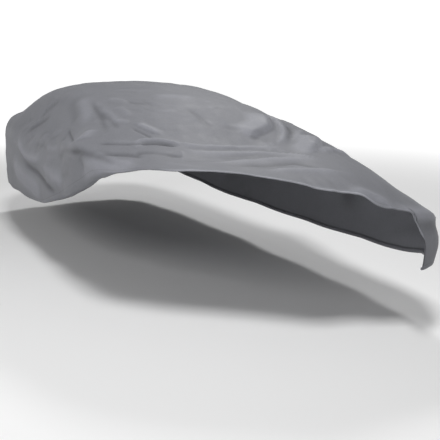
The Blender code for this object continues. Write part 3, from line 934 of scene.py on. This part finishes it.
def node(tree: Tree, kind: str, settings: dict | None = None, **inputs) -> bpy.types.Node:
    """Add a shader node of a kind, with its settings and its inputs."""
    made = tree.nodes.new("ShaderNode" + kind)
    for name, value in (settings or {}).items():
        setattr(made, name, value)
    return fill(tree, made, **inputs)


def calculate(tree: Tree, operation: str, *values) -> Socket:
    """Add a math node on some values or sockets, and return its result."""
    inputs = {f"_{number}": value for number, value in enumerate(values)}
    return node(tree, "Math", {"operation": operation}, **inputs).outputs[0]


def remap(
    tree: Tree,
    value: Socket,
    source: tuple[float, float],
    target: tuple[float, float],
    kind: str = "LINEAR",
) -> Socket:
    """Add a node that carries one range of values to another, and return its result."""
    return node(tree, "MapRange", {"interpolation_type": kind}, Value=value, From_Min=source[0],
                From_Max=source[1], To_Min=target[0], To_Max=target[1]).outputs["Result"]


def stored(tree: Tree, name: str) -> Socket:
    """Read one of the cloth's attributes."""
    return node(tree, "Attribute", {"attribute_name": name}).outputs["Fac"]


@dataclass(frozen=True)
class NonwovenCloth:
    """Spunbond polypropylene cloth, as on plain car covers.

    Molten threads are laid at random and pressed together by a heated roller, which gives a cloudy,
    papery, dull grey with a soft sheen. Its crests are painted lighter, a painted highlight, and its
    troughs darker, painted shade, by the height of the creases. Its press marks are about 1 mm
    across, too fine to show, and are drawn at 9 mm.
    """

    colour: str = "#727378"
    painted_highlight_colour: str = "#808187"
    painted_shade_colour: str = "#5E5F63"
    crease_full: float = 0.011  # crease height that has the whole of the painted highlight's or painted shade's colour
    roughness: float = 0.62
    roughness_swing: float = 0.06
    specular: float = 0.20
    sheen: float = 0.05
    sheen_roughness: float = 0.45
    mottle: float = 0.06  # how far the clouds and the grain lighten and darken the cloth
    mottle_range: tuple[float, float] = (0.7, 1.3)  # the usual range of their sum
    cloud_mm: float = 120.0
    cloud_range: tuple[float, float] = (0.3, 0.7)
    grain_mm: float = 16.0
    grain_relief: float = 1.6  # the grain's height over that of the press marks
    press_mark_mm: float = 9.0
    relief_strength: float = 0.22
    relief_mm: float = 1.2
    painted_rim_highlight: float = 0.45  # how much lighter the front hem's fold is painted: a painted highlight
    rim_mm: float = 8.0
    rim_fade_mm: float = 22.0
    stitch_from_edge_mm: float = 22.0
    stitch_pitch_mm: float = 14.0
    stitch_half_mm: tuple[float, float] = (0.5, 3.5)  # full up to the first, none past the second
    stitch_ends: tuple[float, float] = (-0.6, 0.2)  # sines between which a gap becomes a stitch
    stitch_gap: float = 0.4  # share of a stitch's depth that is left between two of them
    stitch_shade: float = 0.72
    stitch_strength: float = 0.7
    stitch_mm: float = 1.5

    def material(self) -> bpy.types.Material:
        """The cloth's material."""
        material = bpy.data.materials.new("grey_nonwoven_cloth")
        material.use_nodes = True
        tree = material.node_tree
        place = node(tree, "TexCoord").outputs["Object"]
        cloud = node(tree, "TexNoise", {}, Vector=place, Scale=1000.0 / self.cloud_mm, Detail=4.0,
                     Roughness=0.55).outputs["Fac"]
        grain = node(tree, "TexNoise", {}, Vector=place, Scale=1000.0 / self.grain_mm, Detail=3.0,
                     Roughness=0.6).outputs["Fac"]
        marks = node(tree, "TexVoronoi", {"feature": "SMOOTH_F1"}, Vector=place,
                     Scale=1000.0 / self.press_mark_mm).outputs["Distance"]
        stitches = self.stitches(tree)
        both = calculate(tree, "ADD", cloud, grain)
        mottle = remap(tree, both, self.mottle_range, (1.0 - self.mottle, 1.0 + self.mottle))
        sewn_light = calculate(tree, "MULTIPLY", mottle, stitches)
        # painted highlight along the front hem's fold
        shade = calculate(tree, "MULTIPLY", sewn_light, self.rim(tree))
        tinted = node(tree, "VectorMath", {"operation": "SCALE"}, _0=self.tone(tree), Scale=shade)
        relief = calculate(tree, "MULTIPLY_ADD", grain, self.grain_relief, marks)
        bump = node(tree, "Bump", {}, Strength=self.relief_strength, Distance=self.relief_mm / 1000.0,
                    Height=relief)
        sewn = node(tree, "Bump", {}, Strength=self.stitch_strength, Distance=self.stitch_mm / 1000.0,
                    Height=stitches, Normal=bump.outputs["Normal"])
        rough = remap(tree, cloud, self.cloud_range,
                      (self.roughness - self.roughness_swing, self.roughness + self.roughness_swing))
        fill(tree, tree.nodes["Principled BSDF"], Base_Color=tinted.outputs["Vector"],
             Normal=sewn.outputs["Normal"], Roughness=rough, Specular_IOR_Level=self.specular,
             Sheen_Weight=self.sheen, Sheen_Roughness=self.sheen_roughness)
        return material

    def tone(self, tree: Tree) -> Socket:
        """The cloth's colour, with painted shade in its troughs and a painted highlight on its crests."""
        # painted shade in the troughs and a painted highlight on the crests, by crease height
        painted_light_share = remap(tree, stored(tree, "crease_height"), (-self.crease_full, self.crease_full), (0.0, 1.0))
        tones = node(tree, "ValToRGB", {}, Fac=painted_light_share)
        ramp = tones.color_ramp
        ramp.elements[0].color = linear(self.painted_shade_colour)
        ramp.elements[1].color = linear(self.painted_highlight_colour)
        ramp.elements.new(0.5).color = linear(self.colour)
        return tones.outputs["Color"]

    def rim(self, tree: Tree) -> Socket:
        """Painted highlight along the front hem's fold: how much lighter the cloth is there, 1 away from
        it.
        """
        # painted highlight: the cloth is made lighter near the front hem's edge
        away = calculate(tree, "ABSOLUTE", stored(tree, "hem_distance"))
        pale = remap(tree, away, (self.rim_mm / 1000.0, self.rim_fade_mm / 1000.0), (self.painted_rim_highlight, 0.0),
                     "SMOOTHSTEP")
        return calculate(tree, "MULTIPLY_ADD", pale, stored(tree, "front_hem"), 1.0)

    def stitches(self, tree: Tree) -> Socket:
        """One row of stitches along the hem: 1 off the row, and lower on each stitch."""
        off = calculate(tree, "SUBTRACT", stored(tree, "hem_distance"), self.stitch_from_edge_mm / 1000.0)
        half = tuple(size / 1000.0 for size in self.stitch_half_mm)
        row = remap(tree, calculate(tree, "ABSOLUTE", off), half, (1.0, 0.0), "SMOOTHSTEP")
        turn = calculate(tree, "MULTIPLY", stored(tree, "hem_run"), 2000.0 * math.pi / self.stitch_pitch_mm)
        beat = calculate(tree, "SINE", turn)
        dash = remap(tree, beat, self.stitch_ends, (self.stitch_gap, 1.0), "SMOOTHSTEP")
        return remap(tree, calculate(tree, "MULTIPLY", row, dash), (0.0, 1.0), (1.0, self.stitch_shade))


@dataclass(frozen=True)
class PaleFloor:
    """Matt white studio floor. It glows far from the cover, so that it runs into the pale background."""

    colour: str = "#F2F2F2"
    roughness: float = 0.9
    specular: float = 0.1
    glow: float = 0.90
    glow_from: float = 3.5  # metres from the cover where the glow begins
    glow_full: float = 10.0

    def material(self) -> bpy.types.Material:
        """The floor's material."""
        material = bpy.data.materials.new("pale_floor")
        material.use_nodes = True
        tree = material.node_tree
        place = node(tree, "TexCoord").outputs["Object"]
        away = node(tree, "VectorMath", {"operation": "LENGTH"}, _0=place).outputs["Value"]
        glow = remap(tree, away, (self.glow_from, self.glow_full), (0.0, self.glow), "SMOOTHSTEP")
        fill(tree, tree.nodes["Principled BSDF"], Base_Color=linear(self.colour), Roughness=self.roughness,
             Specular_IOR_Level=self.specular, Emission_Color=WHITE, Emission_Strength=glow)
        return material


@dataclass(frozen=True)
class Lamp:
    """A square soft light."""

    name: str
    place: Vector
    size: float
    power: float

    def build(self, aim: Vector) -> None:
        """Put up the light so that it faces the aim."""
        lamp = bpy.data.lights.new(self.name, "AREA")
        lamp.size = self.size
        lamp.energy = self.power
        lit = bpy.data.objects.new(self.name, lamp)
        lit.location = self.place
        way = np.array(aim) - self.place
        lit.rotation_euler = (math.atan2(math.hypot(way[0], way[1]), -way[2]), 0.0,
                              math.atan2(way[1], way[0]) - math.pi / 2)
        bpy.context.scene.collection.objects.link(lit)


LAMPS = (
    Lamp("key", (-3.2, 3.7, 5.4), 1.3, 235.0),
    Lamp("top", (3.6, -1.2, 5.6), 1.6, 310.0),
    Lamp("fill", (1.8, -7.0, 3.4), 3.0, 175.0),
)


@dataclass(frozen=True)
class Studio:
    """The floor, the sky, the lights and the camera."""

    eye: Vector = (5.07, -2.25, 0.213)
    look_bearing: float = 149.0  # degrees from +X towards +Y
    look_down: float = 14.5
    focal_in_frames: float = 625.0 / 440.0  # focal length over the picture's width
    sensor_mm: float = 36.0
    lamps: tuple[Lamp, ...] = LAMPS
    lamp_aim: Vector = (0.4, 0.0, -0.4)
    floor_half: float = 40.0
    sky_mean: float = 0.11
    sky_swing: float = 0.05
    sky_brightest: Vector = (-0.60, 0.35, 0.72)
    horizon_glow: float = 0.96
    glow_even: float = 0.085  # sine of the elevation where the glow begins to fade
    glow_height: float = 0.22  # and where it ends

    def floor(self) -> bpy.types.Object:
        """A square floor at the level of the ground under the cover."""
        half, level = self.floor_half, -REST_HEIGHT
        corners = [(-half, -half, level), (half, -half, level), (half, half, level), (-half, half, level)]
        mesh = bpy.data.meshes.new("floor")
        mesh.from_pydata(corners, [], [(0, 1, 2, 3)])
        mesh.materials.append(PaleFloor().material())
        floor = bpy.data.objects.new("floor", mesh)
        bpy.context.scene.collection.objects.link(floor)
        return floor

    def sky(self) -> bpy.types.World:
        """A white sky, a little brighter behind the cover, with a bright band along the horizon.

        Its strength is the mean plus the swing times the cosine of the angle from its brightest place,
        plus the glow, which is even near the horizon and fades out above and below it.
        """
        world = bpy.data.worlds.new("studio")
        world.use_nodes = True
        tree = world.node_tree
        look = node(tree, "TexCoord").outputs["Generated"]
        cosine = node(tree, "VectorMath", {"operation": "DOT_PRODUCT"}, _0=look,
                      _1=self.sky_brightest).outputs["Value"]
        strength = calculate(tree, "MULTIPLY_ADD", cosine, self.sky_swing, self.sky_mean)
        up = node(tree, "SeparateXYZ", {}, Vector=look).outputs["Z"]
        glow = remap(tree, calculate(tree, "ABSOLUTE", up), (self.glow_even, self.glow_height),
                     (self.horizon_glow, 0.0), "SMOOTHSTEP")
        fill(tree, tree.nodes["Background"], Color=WHITE, Strength=calculate(tree, "ADD", strength, glow))
        return world

    def camera(self) -> bpy.types.Object:
        """The camera, at the photograph's place and angle."""
        lens = bpy.data.cameras.new("camera")
        lens.sensor_width = self.sensor_mm
        lens.lens = self.focal_in_frames * lens.sensor_width
        camera = bpy.data.objects.new("camera", lens)
        camera.location = self.eye
        camera.rotation_euler = (math.radians(90.0 - self.look_down), 0.0,
                                 math.radians(self.look_bearing - 90.0))
        bpy.context.scene.collection.objects.link(camera)
        return camera

    def build(self) -> None:
        """Set up the floor, the sky, the lights and the camera."""
        self.floor()
        scene = bpy.context.scene
        scene.world = self.sky()
        scene.view_settings.view_transform = "Standard"
        for lamp in self.lamps:
            lamp.build(self.lamp_aim)
        scene.camera = self.camera()


def main() -> None:
    """Build the studio and the cover."""
    logging.basicConfig(level=logging.INFO, format="%(message)s")
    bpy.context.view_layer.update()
    Studio().build()
    cover = CoverCloth()
    cover.dress(cover.build())


if __name__ == "__main__":
    main()
